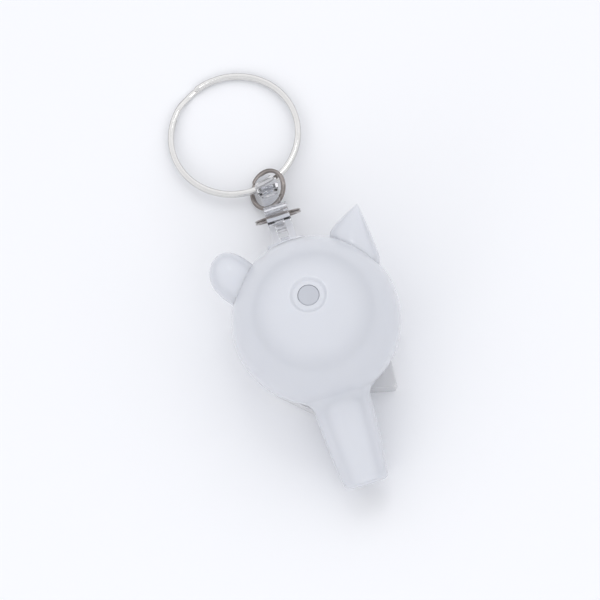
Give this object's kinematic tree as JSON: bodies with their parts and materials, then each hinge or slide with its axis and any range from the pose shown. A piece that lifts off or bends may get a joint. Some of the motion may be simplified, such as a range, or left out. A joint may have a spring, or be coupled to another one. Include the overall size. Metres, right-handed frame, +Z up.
{
  "type": "key ring light",
  "caption": "Mouse-shaped key-ring light: translucent ball body with a drooping snout, push button on its back, ears, clear front feet, and a tail lug with a chain of metal rings.",
  "frame": {"origin": "centre of the small flat under the belly, on the surface that the mouse stands on", "axes": "+Z up, +Y towards the tail and the key ring, so the snout points along -Y; +X to the mouse's left-hand side when it is seen from above with the snout towards the viewer, which is image right"},
  "size_m": [0.0322, 0.0874, 0.0303],
  "materials": {
    "milky_plastic": "polished, slightly translucent",
    "clear_plastic": "polished, clear",
    "button_grey": "satin",
    "ring_steel": "polished nickel plate",
    "screw_steel": "zinc plated",
    "cell_steel": "satin nickel",
    "tinned_metal": "tinned",
    "board_green": "solder mask",
    "black_plastic": "satin",
    "white_plastic": "satin",
    "lamp_resin": "clear resin"
  },
  "bodies": {
    "mouse_body": {"upper_shell": "milky_plastic", "lower_shell": "milky_plastic", "ear_left": "milky_plastic", "ear_right": "milky_plastic", "foot_left": "clear_plastic", "foot_right": "clear_plastic", "switch_body": "black_plastic", "circuit_board": "board_green", "battery_cradle": "black_plastic", "contact_front": "tinned_metal", "contact_rear": "tinned_metal", "lamp": "lamp_resin", "lamp_lead_left": "tinned_metal", "lamp_lead_right": "tinned_metal", "cell_front": "cell_steel", "cell_middle": "cell_steel", "cell_rear": "cell_steel", "case_screw_left": "screw_steel", "case_screw_right": "screw_steel", "tail_lug": "clear_plastic"},
    "button": {"button": "button_grey"},
    "switch_plunger": {"switch_plunger": "white_plastic"},
    "lug_ring": {"lug_ring": "ring_steel"},
    "link": {"link": "clear_plastic"},
    "link_ring": {"link_ring": "ring_steel"},
    "split_ring": {"split_ring": "ring_steel"}
  },
  "joints": [
    {"name": "button_press", "type": "slide", "parent": "mouse_body", "child": "button", "axis": [0, 0, -1], "range_m": [0, 0.0003], "stiffness_N_per_m": 500, "springref_m": -0.0005},
    {"name": "plunger_press", "type": "slide", "parent": "mouse_body", "child": "switch_plunger", "axis": [0, 0, -1], "range_m": [0, 0.0003]},
    {"name": "lug_ring_swing", "type": "hinge", "parent": "mouse_body", "child": "lug_ring", "pos_m": [-0.001, 0.0233, 0.0103], "axis": [1, 0, 0], "range_deg": [-20, 90]},
    {"name": "link_swing", "type": "hinge", "parent": "lug_ring", "child": "link", "pos_m": [-0.0013, 0.02565, 0.0026], "axis": [1, 0, 0], "range_deg": [-60, 30]},
    {"name": "link_ring_swing", "type": "hinge", "parent": "link", "child": "link_ring", "pos_m": [-0.0013, 0.02802, 0.003], "axis": [1, 0, 0], "range_deg": [-28, 2]},
    {"name": "split_ring_swing", "type": "hinge", "parent": "link_ring", "child": "split_ring", "pos_m": [-0.0013, 0.03237, 0.00217], "axis": [1, 0, 0], "range_deg": [-60, 18]}
  ],
  "couplings": [
    {"joint": "plunger_press", "follows": "button_press", "ratio": 1}
  ]
}
